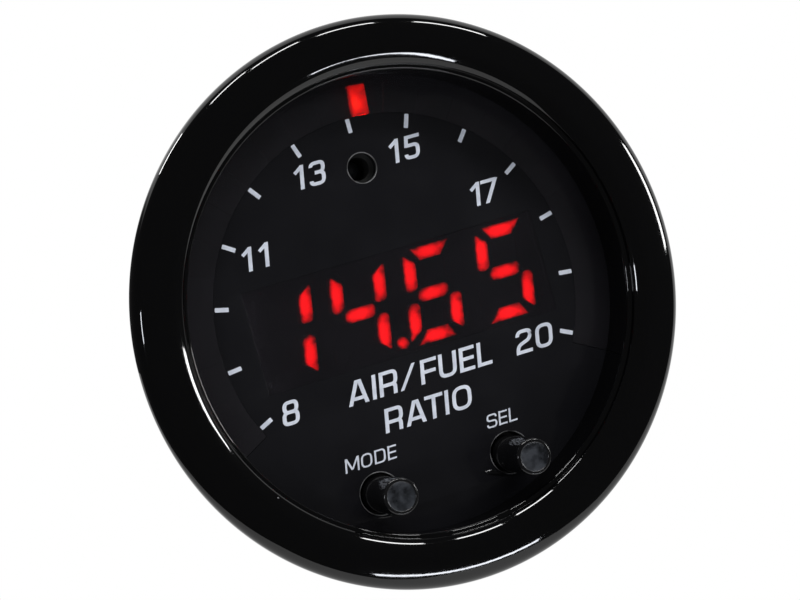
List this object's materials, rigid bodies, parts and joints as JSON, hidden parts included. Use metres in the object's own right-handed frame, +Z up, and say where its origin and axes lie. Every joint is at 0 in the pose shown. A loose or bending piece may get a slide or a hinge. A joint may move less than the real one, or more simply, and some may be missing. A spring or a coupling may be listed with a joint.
{
  "type": "air fuel ratio gauge",
  "caption": "Round panel gauge with a glossy black bezel, a dial with a lit bar ring and a lit digital display, push buttons, and a cup with studs and plug inlets behind the panel.",
  "frame": {"origin": "on the gauge's axis, in the plane of the bezel's rear face, where it rests on the panel", "axes": "+Z up the dial, +X to the right of a person who reads it, +Y along the axis, from the dial to the studs behind the panel"},
  "size_m": [0.06, 0.028, 0.06],
  "materials": {
    "bezel_black": "gloss black",
    "dial_black": "semi-gloss black print under a smooth front",
    "tinted_lens": "dark tinted, smooth",
    "baffle_black": "matte black",
    "red_light_bar": "red translucent",
    "lamp_white": "pale resin",
    "display_body": "dark grey",
    "lit_segment": "red translucent, lit",
    "board_green": "solder resist",
    "bright_steel": "zinc plated",
    "button_black": "gloss black, grey worn tip",
    "plunger_grey": "dark grey",
    "switch_black": "matte black",
    "sleeve_rubber": "matte black",
    "sensor_resin": "dark clear resin",
    "chip_black": "moulded epoxy",
    "crystal_can": "satin metal can",
    "capacitor_ochre": "moulded ochre",
    "header_black": "moulded nylon",
    "pin_brass": "bright",
    "cup_black": "fine grained"
  },
  "bodies": {
    "gauge": {"bezel": "bezel_black", "faceplate": "dial_black", "display_window": "tinted_lens", "ring_window": "tinted_lens", "light_baffle": "baffle_black", "ring_diffusers": "red_light_bar", "ring_leds": "lamp_white", "display_module": "display_body", "display_segments": "lit_segment", "main_board": "board_green", "board_screws": "bright_steel", "mode_switch": "switch_black", "select_switch": "switch_black", "sensor_tube": "sleeve_rubber", "light_sensor": "sensor_resin", "controller_chip": "chip_black", "crystal": "crystal_can", "voltage_regulator": "chip_black", "filter_capacitors": "capacitor_ochre", "power_header": "header_black", "power_pins": "pin_brass", "signal_header": "header_black", "signal_pins": "pin_brass", "housing_cup": "cup_black", "studs": "bright_steel", "stud_nuts": "bright_steel"},
    "mode_key": {"mode_button": "button_black", "mode_plunger": "plunger_grey"},
    "select_key": {"select_button": "button_black", "select_plunger": "plunger_grey"}
  },
  "joints": [
    {"name": "mode_press", "type": "slide", "parent": "gauge", "child": "mode_key", "axis": [0, 1, 0], "range_m": [0, 0.0005], "stiffness_N_per_m": 2000, "springref_m": -0.0005},
    {"name": "select_press", "type": "slide", "parent": "gauge", "child": "select_key", "axis": [0, 1, 0], "range_m": [0, 0.0005], "stiffness_N_per_m": 2000, "springref_m": -0.0005}
  ]
}
